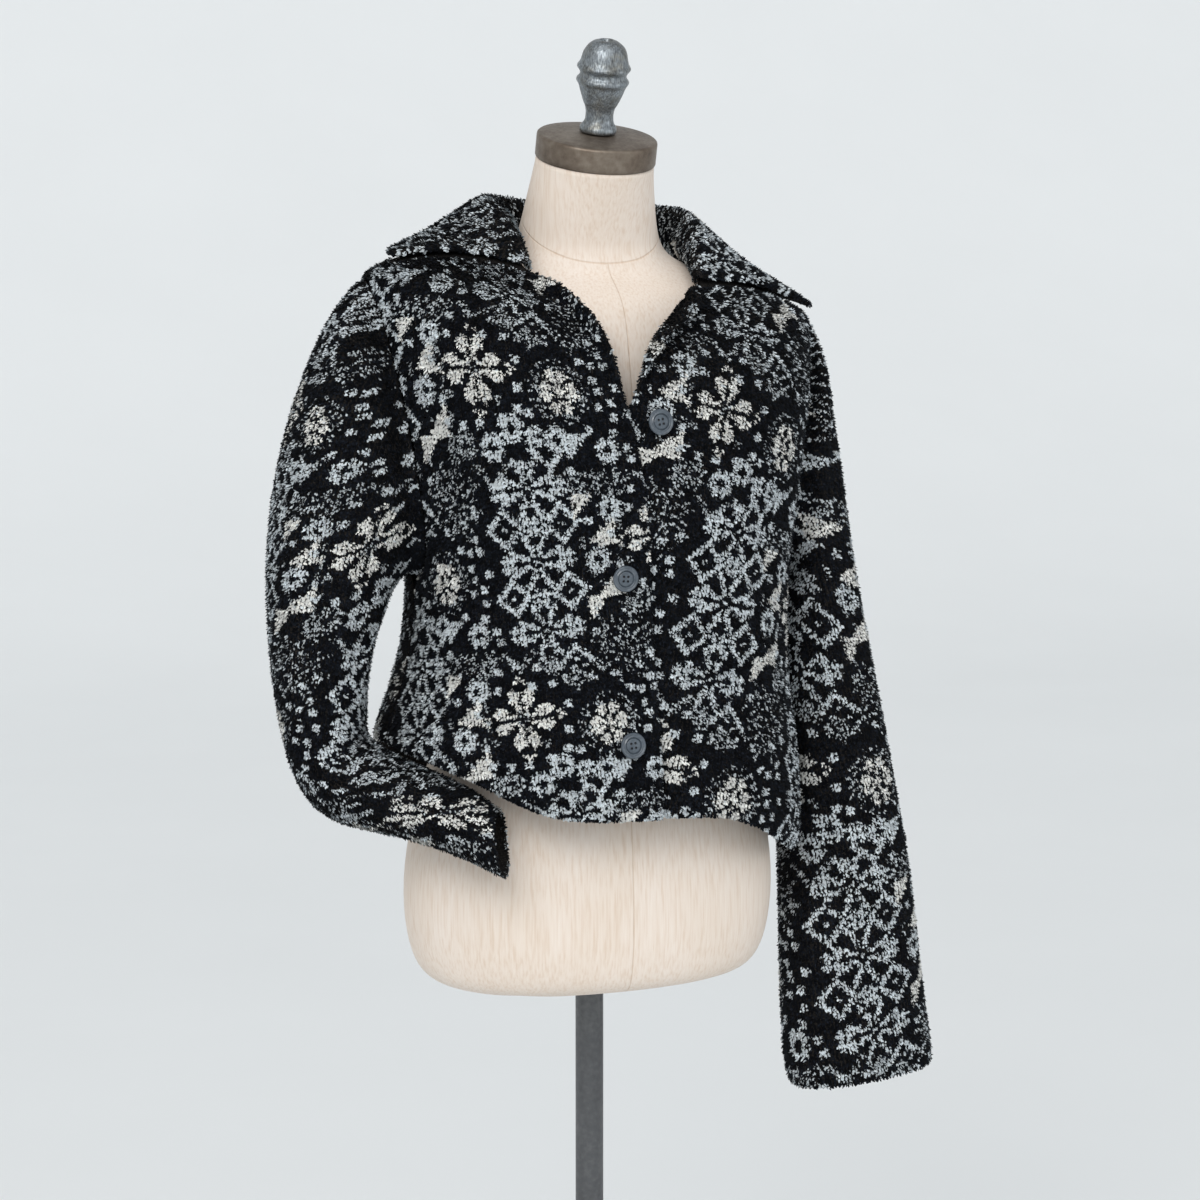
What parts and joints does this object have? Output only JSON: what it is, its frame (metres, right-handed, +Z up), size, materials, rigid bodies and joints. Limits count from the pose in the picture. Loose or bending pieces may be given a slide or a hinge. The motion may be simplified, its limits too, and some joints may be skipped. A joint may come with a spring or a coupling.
{
  "type": "cardigan on a dress form",
  "caption": "Boxy pile-knit cardigan with a spread collar, buttoned front and wide sleeves, worn by a limbless dress form on a pole and round base",
  "frame": {"origin": "middle of the round base's underside, on the floor", "axes": "+X is the wearer's left, -Y is the front of the cardigan, +Z is up along the pole"},
  "size_m": [0.6432, 0.3298, 1.5614],
  "materials": {
    "body_pile": "short pile knit, near black with off-white and cool grey motifs over a taupe ground",
    "sleeve_pile": "the same pile knit, its motifs running down the sleeve",
    "collar_pile": "the same pile knit, two layers, off-white motifs larger",
    "button": "slate blue-grey plastic, semi-gloss, four holes and a double raised rim",
    "form_cover": "tight cream cotton cover",
    "form_cap": "dark bronze-brown metal cap, brushed",
    "form_finial": "grey cast metal, turned, slightly worn",
    "form_stand": "black painted iron, satin"
  },
  "bodies": {
    "root": {"front_right": "body_pile", "front_left": "body_pile", "back": "body_pile", "sleeve_right": "sleeve_pile", "sleeve_left": "sleeve_pile", "collar": "collar_pile", "button_1": "button", "button_2": "button", "button_3": "button", "form_torso": "form_cover", "form_cap": "form_cap", "form_finial": "form_finial", "form_pole": "form_stand", "form_base": "form_stand"}
  },
  "joints": []
}
